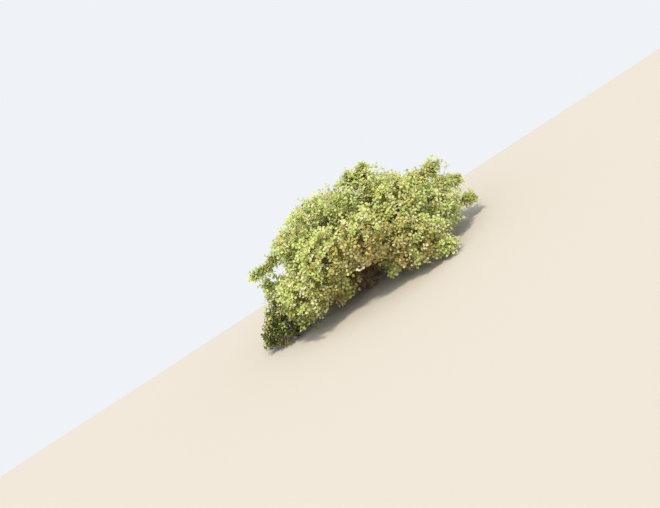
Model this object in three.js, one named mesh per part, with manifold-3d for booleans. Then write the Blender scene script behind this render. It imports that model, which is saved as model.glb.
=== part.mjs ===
// A caper bush: a low, wide dome of leafy shoots on arching boughs that leave one short root crown.
// Millimetres, +Z up. The origin is the middle of the flat cut where the root crown meets the ground,
// which is taken as level. X runs along the dome's long side, and Y from its front to its back.

import * as THREE from "three";
import { mergeVertices } from "three/addons/utils/BufferGeometryUtils.js";
import Module from "manifold-3d";

const wasm = await Module();
wasm.setup();

// Root crown: a flared foot, a waist, the swollen knob that the boughs leave and a rounded shoulder
const FOOT_RADIUS = 86;
const WAIST_RADIUS = 62;
const WAIST_HEIGHT = 45;
const KNOB_RADIUS = 76;
const KNOB_HEIGHT = 98;
const SHOULDER_RADIUS = 55;
const SHOULDER_HEIGHT = 139;
const CROWN_HEIGHT = 156;
const CROWN_LEAN = 7;
const CROWN_SIDES = 11;

// Flare roots, which run out from inside the crown and dip below the cut, at uneven bearings
const FLARE_ROOTS = 6;
const FLARE_UNEVENNESS = 0.35;
const FLARE_START = 25;
const FLARE_BEND = 74;
const FLARE_REACH = 135;
const FLARE_TOP = 62;
const FLARE_RADIUS = 22;
const FLARE_TIP_RADIUS = 8;
const FLARE_SIDES = 6;
const FLARE_STEPS = 3;

// The depth to which the foot is built on below the cut, and the width of the block that cuts it
const FOOT_BURIED = 20;
const CUT_WIDTH = 600;

// Boughs: arching limbs that start steeper than the line to their mass
const BOUGH_RADIUS = 15;
const FORK_RADIUS = 10.5;
const BOUGH_TIP_RADIUS = 9;
const BOUGH_ARCH = 0.22;
const FORK_ARCH = 0.11;
const BOUGH_SIDES = 6;
const BOUGH_STEPS = 3;
const ENTRY_DEPTH = 0.62;

// Stems and twigs inside a mass. Reaches are shares of the mass's spread, and radii are at the foot.
const MASS_FLATNESS = 0.92;
const STEM_REACH = 0.2;
const STEM_BEND = 0.5;
const STEM_TIP_RADIUS = 7;
const STEM_SIDES = 6;
const STEM_STEPS = 2;
const USUAL_SPREAD = 285;
const TWIG_DIRECTIONS = 12;
const FURTHEST_BACKWARD = -0.5;
const FIRST_TWIG = 0.25;
const LAST_TWIG = 0.96;
const TWIG_REACH = 0.7;
const TWIG_SHORTEST = 0.4;
const TWIG_RADIUS = 4;

// Leaves, each a round oval with a keel below. Spacing is the share of a twig between two leaves,
// counted back from its tip. The leaves are larger than life, so that fewer of them fill the dome.
const MASS_TWIG = { leaves: 4, spacing: 0.2, length: 148 };
const TUFT_TWIG = { leaves: 7, spacing: 0.08, length: 88 };
const LEAF_WIDTH = 0.74;
const LEAF_THICKNESS = 7;
const LEAF_LEAN = 0.5;
const LEAF_TILT = 0.6;
const LEAF_TRIES = 12;
const BLADE_START = 20;
const LAST_LEAF = 0.9;

// Room that is kept between solids, above the ground and beside a limb
const SEAT_GAP = 0.3;
const SPACE_MARGIN = 0.02;
const GROUND_ROOM = 6;
const LIMB_ROOM = 3;

// A clear gap through the left side, which runs from front to back and dips on the way
const SKY_GAP = { x: -575, z: 523, dip: 15, radius: 52 };

// Masses of foliage, told from the foot: bearing is degrees from +X towards +Y, lift is degrees above
// the ground, distance is to the middle of the mass and spread is its half width. A mass with a
// "from" has a bough that forks from that mass's bough, at a share of its length. Tufts stand out.
const MASSES = [
  { name: "left_tip", bearing: -176, lift: 7, distance: 840, spread: 255 },
  {
    name: "left_front", bearing: -141, lift: 27, distance: 735, spread: 285,
    tufts: [{ bearing: -123, lift: 24, distance: 430, spread: 165 }],
  },
  {
    name: "left_shoulder", bearing: -175, lift: 55, distance: 775, spread: 225,
    tufts: [
      { bearing: -178, lift: 42, distance: 895, spread: 85 },
      { bearing: -178, lift: 38, distance: 990, spread: 95 },
    ],
  },
  { name: "front_left", bearing: -115, lift: 48, distance: 690, spread: 280 },
  { name: "front", bearing: -72, lift: 42, distance: 750, spread: 280 },
  {
    name: "front_foot", bearing: -45, lift: 20, distance: 760, spread: 300,
    tufts: [
      { bearing: -66, lift: 13, distance: 540, spread: 90 },
      { bearing: -41, lift: 4, distance: 925, spread: 160 },
    ],
  },
  {
    name: "right_shoulder", bearing: 4, lift: 25, distance: 920, spread: 275,
    tufts: [
      { bearing: 2, lift: 29, distance: 1155, spread: 105 },
      { bearing: 4, lift: 17, distance: 1175, spread: 110 },
      { bearing: 2, lift: 37, distance: 975, spread: 95 },
    ],
  },
  { name: "right_back", bearing: 38, lift: 18, distance: 800, spread: 310 },
  { name: "back", bearing: 84, lift: 21, distance: 725, spread: 315 },
  { name: "back_left", bearing: 131, lift: 19, distance: 700, spread: 300 },
  {
    name: "top_right", bearing: -3, lift: 63, distance: 770, spread: 290,
    tufts: [
      { bearing: 0, lift: 62, distance: 1015, spread: 100 },
      { bearing: 0, lift: 70, distance: 975, spread: 85 },
    ],
  },
  {
    name: "left_back", from: "left_tip", at: 0.3, bearing: 168, lift: 22, distance: 685, spread: 245,
    tufts: [{ bearing: -179, lift: 34, distance: 895, spread: 105 }],
  },
  {
    name: "right_low", from: "right_shoulder", at: 0.4, bearing: -11, lift: 17, distance: 860,
    spread: 260,
    tufts: [{ bearing: 2, lift: 7, distance: 1145, spread: 115 }],
  },
  {
    name: "front_right", from: "front_foot", at: 0.25, bearing: -25, lift: 40, distance: 780, spread: 275,
    tufts: [{ bearing: -9, lift: 45, distance: 945, spread: 95 }],
  },
  { name: "upper_right", from: "right_back", at: 0.3, bearing: 34, lift: 39, distance: 770, spread: 275 },
  { name: "upper_back", from: "back", at: 0.25, bearing: 82, lift: 51, distance: 710, spread: 290 },
  { name: "upper_left", from: "back_left", at: 0.25, bearing: 130, lift: 53, distance: 725, spread: 280 },
  { name: "top_left", from: "left_shoulder", at: 0.3, bearing: -156, lift: 82, distance: 710, spread: 285 },
];

const GOLDEN_ANGLE = Math.PI * (3 - Math.sqrt(5));
const UP = new THREE.Vector3(0, 0, 1);

// Finishes
const bark = new THREE.MeshStandardMaterial({ color: 0x8a6f4e, roughness: 0.9, metalness: 0 });
const foliage = new THREE.MeshStandardMaterial({ color: 0xb4c06c, roughness: 0.5, metalness: 0 });

// Random numbers between 0 and 1 that are the same on every run
function dice(seed) {
  let state = seed;
  return () => {
    state = (state * 1664525 + 1013904223) % 4294967296;
    return state / 4294967296;
  };
}

function place(bearing, lift, distance) {
  const turn = THREE.MathUtils.degToRad(bearing);
  const rise = THREE.MathUtils.degToRad(lift);
  const flat = distance * Math.cos(rise);
  return new THREE.Vector3(flat * Math.cos(turn), flat * Math.sin(turn), distance * Math.sin(rise));
}

// The unit part of a vector that is square to a unit direction
function squared(vector, direction) {
  return vector.clone().addScaledVector(direction, -vector.dot(direction)).normalize();
}

// A direction square to another one, turned about it by an angle
function sideways(direction, angle) {
  const reference = Math.abs(direction.z) < 0.9 ? UP : new THREE.Vector3(1, 0, 0);
  return squared(reference, direction).applyAxisAngle(direction, angle);
}

function toSolid(geometry) {
  geometry.deleteAttribute("normal");
  geometry.deleteAttribute("uv");
  const merged = mergeVertices(geometry, 1e-4);
  return new wasm.Manifold(
    new wasm.Mesh({
      numProp: 3,
      vertProperties: new Float32Array(merged.attributes.position.array),
      triVerts: new Uint32Array(merged.index.array),
    }),
  );
}

// Bends an upright geometry of unit height along a curve
function bend(geometry, curve, steps) {
  const frames = curve.computeFrenetFrames(steps);
  const points = curve.getSpacedPoints(steps);
  const position = geometry.attributes.position;
  for (let i = 0; i < position.count; i++) {
    const ring = Math.round((position.getY(i) + 0.5) * steps);
    const moved = points[ring]
      .clone()
      .addScaledVector(frames.normals[ring], position.getX(i))
      .addScaledVector(frames.binormals[ring], -position.getZ(i));
    position.setXYZ(i, moved.x, moved.y, moved.z);
  }
  return geometry;
}

function limb(curve, radius, tipRadius, sides, steps) {
  return toSolid(bend(new THREE.CylinderGeometry(tipRadius, radius, 1, sides, steps), curve, steps));
}

function twig(start, end) {
  return toSolid(bend(new THREE.ConeGeometry(TWIG_RADIUS, 1, 3), new THREE.LineCurve3(start, end), 1));
}

// A leaf of eight faces: a six-sided flat top, and a keel from base to tip below it
function leaf(base, along, facing, length) {
  const lift = squared(facing, along);
  const across = new THREE.Vector3().crossVectors(lift, along);
  const outline = [
    [0, 0, 0],
    [0.3, 0.5, 1],
    [0.72, 0.46, 1],
    [1, 0, 0],
    [0.72, -0.46, 1],
    [0.3, -0.5, 1],
  ];
  const corners = outline.map(([share, side, raised]) =>
    base
      .clone()
      .addScaledVector(along, share * length)
      .addScaledVector(across, side * length * LEAF_WIDTH)
      .addScaledVector(lift, raised * LEAF_THICKNESS),
  );
  const geometry = new THREE.BufferGeometry().setFromPoints(corners);
  geometry.setIndex([0, 5, 1, 5, 4, 2, 5, 2, 1, 4, 3, 2, 0, 1, 3, 1, 2, 3, 0, 3, 5, 3, 4, 5]);
  return { corners, solid: toSolid(geometry) };
}

// The share of its spread at which a point lies from the middle of a mass, or of its nearest tuft
function depth(mass, point) {
  const shares = mass.lobes.map(({ centre, spread }) => {
    const away = point.clone().sub(centre);
    away.z /= MASS_FLATNESS;
    return away.length() / spread;
  });
  return Math.min(...shares);
}

function inSkyGap(point) {
  const dip = THREE.MathUtils.degToRad(SKY_GAP.dip);
  const drop = (point.z - SKY_GAP.z) * Math.cos(dip) + point.y * Math.sin(dip);
  return Math.hypot(point.x - SKY_GAP.x, drop) < SKY_GAP.radius;
}

// Whether a point lies in a mass's own space
function inSpace(mass, point) {
  const own = depth(mass, point);
  if (own > 1 || point.z < GROUND_ROOM || inSkyGap(point)) return false;
  return masses.every((other) => other === mass || depth(other, point) - own >= SPACE_MARGIN);
}

// The furthest end of a twig that stays in the space, or nothing where it would be too short
function endInSpace(mass, start, end) {
  for (let share = 1; share >= TWIG_SHORTEST; share -= 0.1) {
    const tried = start.clone().lerp(end, share);
    if (inSpace(mass, tried)) return tried;
  }
  return null;
}

// Root crown, grown all round by an amount where something is cut to sit on it
function rootCrown(grown) {
  const profile = [
    [0, -FOOT_BURIED],
    [FOOT_RADIUS + FOOT_BURIED, -FOOT_BURIED],
    [FOOT_RADIUS, 0],
    [WAIST_RADIUS, WAIST_HEIGHT],
    [KNOB_RADIUS, KNOB_HEIGHT],
    [SHOULDER_RADIUS, SHOULDER_HEIGHT],
    [0, CROWN_HEIGHT],
  ];
  const outline = profile.map(([r, z]) => new THREE.Vector2(r > 0 ? r + grown : 0, z > 0 ? z + grown : z));
  const body = new THREE.LatheGeometry(outline, CROWN_SIDES);
  body.rotateX(Math.PI / 2);
  const lean = Math.tan(THREE.MathUtils.degToRad(CROWN_LEAN));
  body.applyMatrix4(new THREE.Matrix4().makeShear(0, 0, 0, 0, lean, 0));
  let whole = toSolid(body);
  for (let k = 0; k < FLARE_ROOTS; k++) {
    const bearing = (360 / FLARE_ROOTS) * (k + FLARE_UNEVENNESS * Math.sin(2 * k));
    const start = place(bearing, 0, FLARE_START);
    start.z = FLARE_TOP;
    const foot = place(bearing, 0, FLARE_REACH);
    foot.z = -FLARE_TIP_RADIUS;
    const curve = new THREE.QuadraticBezierCurve3(start, place(bearing, 0, FLARE_BEND), foot);
    whole = whole.add(limb(curve, FLARE_RADIUS + grown, FLARE_TIP_RADIUS + grown, FLARE_SIDES, FLARE_STEPS));
  }
  const under = new THREE.BoxGeometry(CUT_WIDTH, CUT_WIDTH, CUT_WIDTH).translate(0, 0, -CUT_WIDTH / 2);
  return whole.subtract(toSolid(under));
}

const masses = MASSES.map((given, index) => {
  const centre = place(given.bearing, given.lift, given.distance);
  const tufts = (given.tufts || []).map((tuft) => ({
    centre: place(tuft.bearing, tuft.lift, tuft.distance),
    spread: tuft.spread,
  }));
  return { ...given, seed: 101 + index, centre, tufts, lobes: [{ centre, spread: given.spread }, ...tufts] };
});

// The line of a bough, from inside what carries it to where it enters its mass
function boughCurve(mass) {
  const parent = masses.find((other) => other.name === mass.from);
  const lean = KNOB_HEIGHT * Math.tan(THREE.MathUtils.degToRad(CROWN_LEAN));
  const start = parent ? parent.curve.getPoint(mass.at) : new THREE.Vector3(lean, 0, KNOB_HEIGHT);
  const heading = mass.centre.clone().sub(start).normalize();
  const entry = mass.centre.clone().addScaledVector(heading, -ENTRY_DEPTH * mass.spread);
  const middle = start.clone().lerp(entry, 0.5);
  middle.addScaledVector(UP, (parent ? FORK_ARCH : BOUGH_ARCH) * start.distanceTo(entry));
  return new THREE.QuadraticBezierCurve3(start, middle, entry);
}

// A bough's solid, before it is cut to sit on its carrier, grown all round by an amount
function boughSolid(mass, grown) {
  const radius = mass.from ? FORK_RADIUS : BOUGH_RADIUS;
  return limb(mass.curve, radius + grown, BOUGH_TIP_RADIUS + grown, BOUGH_SIDES, BOUGH_STEPS);
}

// The line of a mass's stem, which carries on the line of its bough
function stemCurve(mass) {
  const outward = mass.curve.getTangent(1);
  const start = mass.curve.getPoint(1).addScaledVector(outward, SEAT_GAP);
  const heart = mass.centre.clone().addScaledVector(outward, STEM_REACH * mass.spread);
  const turning = start.clone().addScaledVector(outward, STEM_BEND * start.distanceTo(heart));
  return new THREE.QuadraticBezierCurve3(start, turning, heart);
}

// The point at a share of the way along a limb's own straight steps
function onSteps(points, share) {
  const at = share * (points.length - 1);
  const k = Math.min(Math.floor(at), points.length - 2);
  return points[k].clone().lerp(points[k + 1], at - k);
}

// The stem, twigs and leaves of one mass, by a seeded rule
function massSolid(mass, limbs) {
  const roll = dice(mass.seed);
  const stem = stemCurve(mass);
  const stemPoints = stem.getSpacedPoints(STEM_STEPS);
  const pole = mass.centre.clone().normalize().add(UP).normalize();
  let whole = limb(stem, BOUGH_TIP_RADIUS, STEM_TIP_RADIUS, STEM_SIDES, STEM_STEPS);

  // Adds a twig from a share of the stem towards an aim, and its leaves back from its tip
  function grow(share, aim, { leaves, spacing, length }) {
    const foot = onSteps(stemPoints, share);
    const tip = endInSpace(mass, foot, aim);
    if (!tip) return;
    const solid = twig(foot, tip);
    if (!solid.intersect(limbs).isEmpty()) return;
    whole = whole.add(solid);
    const along = tip.clone().sub(foot).normalize();
    for (let n = 0; n < leaves; n++) {
      addLeaf(foot.clone().lerp(tip, LAST_LEAF - n * spacing), along, length, GOLDEN_ANGLE * n);
    }
  }

  // Adds one leaf at the first turn about the twig at which it lies clear and in the space
  function addLeaf(point, along, length, firstTurn) {
    const facing = point.clone().normalize().add(UP);
    facing.addScaledVector(sideways(UP, roll() * 2 * Math.PI), LEAF_TILT);
    for (let n = 0; n < LEAF_TRIES; n++) {
      const side = sideways(along, firstTurn + GOLDEN_ANGLE * n);
      const direction = side.addScaledVector(along, LEAF_LEAN).normalize();
      const { corners, solid } = leaf(point, direction, facing, length);
      if (!corners.every((corner) => inSpace(mass, corner))) continue;
      const bladeBase = point.clone().addScaledVector(direction, BLADE_START);
      const blade = leaf(bladeBase, direction, facing, length).solid;
      if (!solid.intersect(limbs).isEmpty() || !blade.intersect(whole).isEmpty()) continue;
      whole = whole.add(solid);
      return;
    }
  }

  const directions = Math.round(TWIG_DIRECTIONS * (mass.spread / USUAL_SPREAD) ** 2);
  for (let k = 0; k < directions; k++) {
    const height = 1 - (2 * k + 1) / directions;
    const turn = GOLDEN_ANGLE * k + roll();
    if (height < FURTHEST_BACKWARD) continue;
    const direction = pole.clone().multiplyScalar(height);
    direction.addScaledVector(sideways(pole, turn), Math.sqrt(1 - height * height));
    const share = THREE.MathUtils.mapLinear(height, -1, 1, FIRST_TWIG, LAST_TWIG);
    const aim = mass.centre.clone().addScaledVector(direction, TWIG_REACH * mass.spread);
    grow(share, aim, MASS_TWIG);
  }
  for (const tuft of mass.tufts) grow(LAST_TWIG, tuft.centre, TUFT_TWIG);
  return largestBody(whole);
}

// The largest body alone, so that loose scraps and sealed hollows go
function largestBody(solid) {
  return solid.decompose().reduce((a, b) => (b.volume() > a.volume() ? b : a));
}

function mesh(name, solid, material) {
  const made = solid.getMesh();
  const geometry = new THREE.BufferGeometry();
  geometry.setAttribute("position", new THREE.BufferAttribute(made.vertProperties, 3));
  geometry.setIndex(new THREE.BufferAttribute(made.triVerts, 1));
  geometry.computeVertexNormals();
  const result = new THREE.Mesh(geometry, material);
  result.name = name;
  return result;
}

const bush = new THREE.Group();
bush.add(mesh("root_crown", rootCrown(0), bark.clone()));

// Each bough is cut to sit on the root crown, or on the bough that it forks from
let limbs = rootCrown(LIMB_ROOM);
const crownSeat = rootCrown(SEAT_GAP);
for (const mass of masses) {
  mass.curve = boughCurve(mass);
  const parent = masses.find((other) => other.name === mass.from);
  let solid = boughSolid(mass, 0).subtract(crownSeat);
  if (parent) solid = solid.subtract(boughSolid(parent, SEAT_GAP));
  bush.add(mesh("bough_" + mass.name, largestBody(solid), bark.clone()));
  limbs = limbs.add(boughSolid(mass, LIMB_ROOM));
}

for (const mass of masses) {
  bush.add(mesh("mass_" + mass.name, massSolid(mass, limbs), foliage.clone()));
}

export default bush;
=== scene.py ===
# %% [markdown]
# # A caper bush, dressed in Blender
#
# A caper bush is a low dome of round, waxy, yellow-green leaves. Arching boughs leave one short root
# crown, and each bough ends in its own mass of shoots. The solid model that this lesson starts from
# already has the crown, the boughs and coarse masses. Here the bark gets its relief, and each mass
# becomes fine twigs, leafy shoots and many small leaves that keep to the same spaces.

# %% Load the solid model
import math

import bpy
from mathutils import Matrix, Vector, kdtree, noise


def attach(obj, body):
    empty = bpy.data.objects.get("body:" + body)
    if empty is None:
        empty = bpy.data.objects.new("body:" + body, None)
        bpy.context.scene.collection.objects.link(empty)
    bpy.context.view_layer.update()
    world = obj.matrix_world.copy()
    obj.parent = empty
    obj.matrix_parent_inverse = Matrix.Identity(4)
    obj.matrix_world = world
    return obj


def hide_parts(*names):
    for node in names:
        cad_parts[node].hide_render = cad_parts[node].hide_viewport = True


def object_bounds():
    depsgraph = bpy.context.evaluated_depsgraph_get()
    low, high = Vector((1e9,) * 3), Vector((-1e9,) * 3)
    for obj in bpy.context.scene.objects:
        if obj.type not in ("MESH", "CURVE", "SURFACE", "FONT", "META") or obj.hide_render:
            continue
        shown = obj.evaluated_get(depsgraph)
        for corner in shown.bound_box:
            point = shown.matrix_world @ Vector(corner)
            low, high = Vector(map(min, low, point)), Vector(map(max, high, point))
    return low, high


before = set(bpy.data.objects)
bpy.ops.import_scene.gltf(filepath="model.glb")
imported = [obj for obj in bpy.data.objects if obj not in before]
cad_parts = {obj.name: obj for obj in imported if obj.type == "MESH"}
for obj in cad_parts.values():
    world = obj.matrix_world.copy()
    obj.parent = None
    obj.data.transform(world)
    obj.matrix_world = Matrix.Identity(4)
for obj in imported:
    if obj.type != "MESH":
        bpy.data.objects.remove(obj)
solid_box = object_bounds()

print("solid nodes:", len(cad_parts))
print("solid box:", [round(value, 3) for corner in solid_box for value in corner])

# %% [markdown]
# ## The camera
#
# The bush grows on a slope. Here the slope is level ground, so the camera is rolled by the slope's
# angle instead, and the picture shows the bush leaning up the hill as the photograph does. The
# photograph is a distant view, so a long lens stands far away. One pixel covers 8.5 mm at the bush,
# which is how a round leaf of about 32 mm comes to be about 4 pixels wide.

# %% Camera
PICTURE_WIDTH = 660
PICTURE_HEIGHT = 508
PIXEL_SIZE = 0.0085
CROWN_PIXEL = (370, 284)
SLOPE = math.radians(33)
CAMERA_ELEVATION = math.radians(15)
CAMERA_DISTANCE = 25.0
SENSOR_WIDTH = 36.0

UP = Vector((0, 0, 1))
UPHILL = Vector((1, 0, 0))
TOWARDS_CAMERA = Vector((0, -math.cos(CAMERA_ELEVATION), math.sin(CAMERA_ELEVATION)))
OFF_SLOPE = TOWARDS_CAMERA.cross(UPHILL)

picture_right = math.cos(SLOPE) * UPHILL - math.sin(SLOPE) * OFF_SLOPE
picture_up = math.sin(SLOPE) * UPHILL + math.cos(SLOPE) * OFF_SLOPE
aim = PIXEL_SIZE * (
    (PICTURE_WIDTH / 2 - CROWN_PIXEL[0]) * picture_right
    + (CROWN_PIXEL[1] - PICTURE_HEIGHT / 2) * picture_up
)


def put_in_scene(name, data):
    """A new object that shows a mesh, a lamp or a camera."""
    made = bpy.data.objects.new(name, data)
    bpy.context.scene.collection.objects.link(made)
    return made


camera = put_in_scene("camera", bpy.data.cameras.new("camera"))
bpy.context.scene.camera = camera
camera.data.sensor_width = SENSOR_WIDTH
camera.data.lens = SENSOR_WIDTH * CAMERA_DISTANCE / (PICTURE_WIDTH * PIXEL_SIZE)
camera.data.clip_end = 4 * CAMERA_DISTANCE
camera.location = aim + CAMERA_DISTANCE * TOWARDS_CAMERA
camera.rotation_mode = "QUATERNION"
camera_axes = Matrix((picture_right, picture_up, TOWARDS_CAMERA)).transposed()
camera.rotation_quaternion = camera_axes.to_quaternion()
print("lens in mm:", round(camera.data.lens, 1), "aim:", [round(value, 3) for value in aim])

# %% [markdown]
# ## The bush's sizes
#
# These are the driving sizes of the solid model, in metres. A mass is told from the foot: its bearing
# from uphill and its lift above the ground in degrees, its distance, and its half width, or spread.
# Tufts are the sprays that stand out of the dome, told in the same way. A fork names the bough that
# another mass's bough leaves, and how far along it. Working from the same few numbers keeps the fine
# growth inside the solids that it replaces.

# %% Sizes
KNOB_HEIGHT = 0.098
CROWN_LEAN = math.radians(7)
BOUGH_RADIUS = 0.015
FORK_RADIUS = 0.0105
BOUGH_TIP_RADIUS = 0.009
BOUGH_ARCH = 0.22
FORK_ARCH = 0.11
ENTRY_DEPTH = 0.62
MASS_FLATNESS = 0.92
STEM_REACH = 0.2
STEM_BEND = 0.5
STEM_STEPS = 2

MASSES = {
    "left_tip": (-176, 7, 0.84, 0.255),
    "left_front": (-141, 27, 0.735, 0.285),
    "left_shoulder": (-175, 55, 0.775, 0.225),
    "front_left": (-115, 48, 0.69, 0.28),
    "front": (-72, 42, 0.75, 0.28),
    "front_foot": (-45, 20, 0.76, 0.3),
    "right_shoulder": (4, 25, 0.92, 0.275),
    "right_back": (38, 18, 0.8, 0.31),
    "back": (84, 21, 0.725, 0.315),
    "back_left": (131, 19, 0.7, 0.3),
    "top_right": (-3, 63, 0.77, 0.29),
    "left_back": (168, 22, 0.685, 0.245),
    "right_low": (-11, 17, 0.86, 0.26),
    "front_right": (-25, 40, 0.78, 0.275),
    "upper_right": (34, 39, 0.77, 0.275),
    "upper_back": (82, 51, 0.71, 0.29),
    "upper_left": (130, 53, 0.725, 0.28),
    "top_left": (-156, 82, 0.71, 0.285),
}
TUFTS = {
    "left_front": [(-123, 24, 0.43, 0.165)],
    "left_shoulder": [(-178, 42, 0.895, 0.085), (-178, 38, 0.99, 0.095)],
    "front_foot": [(-66, 13, 0.54, 0.09), (-41, 4, 0.925, 0.16)],
    "right_shoulder": [(2, 29, 1.155, 0.105), (4, 17, 1.175, 0.11), (2, 37, 0.975, 0.095)],
    "top_right": [(0, 62, 1.015, 0.1), (0, 70, 0.975, 0.085)],
    "left_back": [(-179, 34, 0.895, 0.105)],
    "right_low": [(2, 7, 1.145, 0.115)],
    "front_right": [(-9, 45, 0.945, 0.095)],
}
FORKS = {
    "left_back": ("left_tip", 0.3),
    "right_low": ("right_shoulder", 0.4),
    "front_right": ("front_foot", 0.25),
    "upper_right": ("right_back", 0.3),
    "upper_back": ("back", 0.25),
    "upper_left": ("back_left", 0.25),
    "top_left": ("left_shoulder", 0.3),
}
print("masses:", len(MASSES), "tufts:", sum(map(len, TUFTS.values())), "forks:", len(FORKS))

# %% [markdown]
# ## Seeded chance and directions
#
# A plant looks alive because nothing repeats, but a lesson has to give the same plant every time. So
# chance comes from a short formula that starts at a chosen seed. The other helpers turn bearings into
# places and give directions that are square to another one, which is how a leaf leaves its twig.

# %% Chance and directions
def dice(seed):
    """Random numbers between 0 and 1 that are the same on every run."""
    state = seed

    def roll():
        nonlocal state
        state = (state * 1664525 + 1013904223) % 4294967296
        return state / 4294967296

    return roll


def on_circle(turn, radius, height):
    return Vector((radius * math.cos(turn), radius * math.sin(turn), height))


def place(bearing, lift, distance):
    rise = math.radians(lift)
    return on_circle(math.radians(bearing), distance * math.cos(rise), distance * math.sin(rise))


def sideways(direction, angle):
    """A direction square to another one, turned about it by an angle."""
    reference = UP if abs(direction.z) < 0.9 else UPHILL
    square = (reference - direction * reference.dot(direction)).normalized()
    return Matrix.Rotation(angle, 3, direction) @ square


GOLDEN_ANGLE = math.pi * (3 - math.sqrt(5))
print("first throws:", [round(dice(seed)(), 3) for seed in (101, 102, 103)])

# %% [markdown]
# ## Boughs and stems
#
# A bough is one tapering limb that rises steeply from the crown and then bends over, which a quadratic
# curve draws with three points. Inside its mass the limb goes on as a stem. The stem starts along the
# bough's last direction, so the eye reads the two as one limb.

# %% Limb curves
FIRST_SEED = 101


class Arch:
    """A curve from a start, drawn towards a middle point, to an end."""

    def __init__(self, start, middle, end):
        self.start, self.middle, self.end = start, middle, end

    def point(self, share):
        first = self.start.lerp(self.middle, share)
        second = self.middle.lerp(self.end, share)
        return first.lerp(second, share)

    def tangent(self, share):
        first = self.middle - self.start
        second = self.end - self.middle
        return first.lerp(second, share).normalized()

    def spaced(self, steps, fineness=200):
        """Points at equal distances along the curve."""
        fine = [self.point(k / fineness) for k in range(fineness + 1)]
        run = [0.0]
        for before, after in zip(fine, fine[1:]):
            run.append(run[-1] + (after - before).length)
        wanted = [run[-1] * k / steps for k in range(steps + 1)]
        points, k = [], 0
        for distance in wanted:
            while k < fineness - 1 and run[k + 1] < distance:
                k += 1
            points.append(fine[k].lerp(fine[k + 1], (distance - run[k]) / (run[k + 1] - run[k])))
        return points


def length_of(points):
    return sum((after - before).length for before, after in zip(points, points[1:]))


class Mass:
    """One mass of foliage with its lobes, its bough's curve and its stem's curve."""

    def __init__(self, name, seed, earlier):
        self.name = name
        self.seed = seed
        told = (MASSES[name], *TUFTS.get(name, ()))
        self.lobes = [(place(*where), spread) for *where, spread in told]
        self.centre, self.spread = self.lobes[0]
        self.forks = name in FORKS
        self.bough_radius = FORK_RADIUS if self.forks else BOUGH_RADIUS
        start = Vector((KNOB_HEIGHT * math.tan(CROWN_LEAN), 0, KNOB_HEIGHT))
        if self.forks:
            carrier, share = FORKS[name]
            start = next(mass for mass in earlier if mass.name == carrier).bough.point(share)
        heading = (self.centre - start).normalized()
        entry = self.centre - heading * ENTRY_DEPTH * self.spread
        rise = FORK_ARCH if self.forks else BOUGH_ARCH
        self.bough = Arch(start, start.lerp(entry, 0.5) + UP * rise * (entry - start).length, entry)
        outward = self.bough.tangent(1)
        heart = self.centre + outward * STEM_REACH * self.spread
        self.stem = Arch(entry, entry + outward * STEM_BEND * (heart - entry).length, heart)


masses = []
for index, name in enumerate(MASSES):
    masses.append(Mass(name, FIRST_SEED + index, masses))
print("longest bough in m:", round(max((m.bough.end - m.bough.start).length for m in masses), 3))

# %% [markdown]
# ## A space for each mass
#
# Each mass keeps to its own space, so that the masses stay apart as they do on the plant. A point's
# depth is its distance from the nearest lobe's middle as a share of that lobe's spread. A point
# belongs to the mass in which it is deepest. One clear gap through the left side shows the sky in
# the photograph, so nothing may grow there.

# %% Spaces
GROUND_ROOM = 0.006
SPACE_MARGIN = 0.02
GAP_X = -0.575
GAP_Z = 0.523
GAP_DIP = math.radians(15)
GAP_RADIUS = 0.052


def depth(mass, point):
    shares = []
    for centre, spread in mass.lobes:
        away = point - centre
        away.z /= MASS_FLATNESS
        shares.append(away.length / spread)
    return min(shares)


def in_sky_gap(point, room=0.0):
    drop = (point.z - GAP_Z) * math.cos(GAP_DIP) + point.y * math.sin(GAP_DIP)
    return math.hypot(point.x - GAP_X, drop) < GAP_RADIUS + room


def in_space(mass, point):
    own = depth(mass, point)
    if own > 1 or point.z < GROUND_ROOM or in_sky_gap(point):
        return False
    return all(other is mass or depth(other, point) - own >= SPACE_MARGIN for other in masses)


print("hearts in their own space:", sum(in_space(mass, mass.centre) for mass in masses))

# %% [markdown]
# ## One dome from many spaces
#
# Where two round spaces meet, the outline would have a crease. On the real bush the shoots grow longer
# there and fill it. So the dome's own depth blends all the masses' depths: side by side they count as
# deeper than either alone. A shoot may grow on into a crease, as long as it stays in this dome and
# nearer to its own mass than to any other. The dome reaches no further than the round spaces do.

# %% Dome
DOME_BLEND = 4.5
FURTHEST_SHARE = 1.35
SHARE_STEP = 0.05


def in_dome(mass, point):
    """Whether a point lies in the blended dome and is nearest to this mass."""
    depths = [depth(other, point) for other in masses]
    if depth(mass, point) > min(depths):
        return False
    return sum(math.exp(-DOME_BLEND * value) for value in depths) >= math.exp(-DOME_BLEND)


def reach_in_dome(mass, centre, ray):
    """How far a ray from a lobe's middle stays in the dome, as a share of its length."""
    share = 1.0
    while share < FURTHEST_SHARE and in_dome(mass, centre + ray * (share + SHARE_STEP)):
        share += SHARE_STEP
    return share


first = masses[0]
print("upward reach of the first mass:", reach_in_dome(first, first.centre, UP * first.spread))

# %% [markdown]
# ## Twigs by the rule of the solids
#
# The solids grow twigs from each stem in evenly spread directions, by the golden angle. A twig is cut
# back until its end lies in its mass's space, and left out where it would touch a limb. The same rule
# with the same seeds gives the same twigs here, and the finer growth starts from them.

# %% Main twigs
USUAL_SPREAD = 0.285
TWIG_DIRECTIONS = 12
FURTHEST_BACKWARD = -0.5
FIRST_TWIG = 0.25
LAST_TWIG = 0.96
TWIG_REACH = 0.7
TWIG_SHORTEST = 0.4
TWIG_CLEARANCE = 0.007
TWIG_TRIES = 16
LIMB_TRIES = 48
LEAVES_ON_SOLID_TWIG = 4


def search_tree(points):
    """A tree that finds the nearest of some points."""
    tree = kdtree.KDTree(len(points))
    for index, point in enumerate(points):
        tree.insert(point, index)
    tree.balance()
    return tree


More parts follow.
